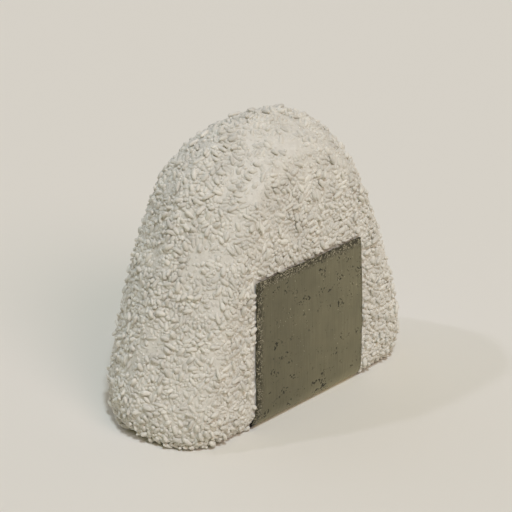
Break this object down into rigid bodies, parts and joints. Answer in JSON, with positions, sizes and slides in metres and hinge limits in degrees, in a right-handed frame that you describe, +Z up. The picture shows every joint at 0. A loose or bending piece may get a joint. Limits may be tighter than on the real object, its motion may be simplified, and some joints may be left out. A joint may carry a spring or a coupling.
{
  "type": "onigiri rice ball",
  "caption": "Rounded triangle of pressed cooked rice standing on its wide side, with a strip of nori wrapped up its front, under its base and up its back.",
  "frame": {"origin": "on the floor under the middle of the ball, at the bottom centre of its box", "axes": "+Z up; X across the wide side of the triangle; the flat faces with the nori look along -Y (front) and +Y (back)"},
  "size_m": [0.0934, 0.0392, 0.0782],
  "materials": {
    "rice": null,
    "nori": null
  },
  "bodies": {
    "root": {"rice_ball": "rice", "nori_sheet": "nori"}
  },
  "joints": []
}
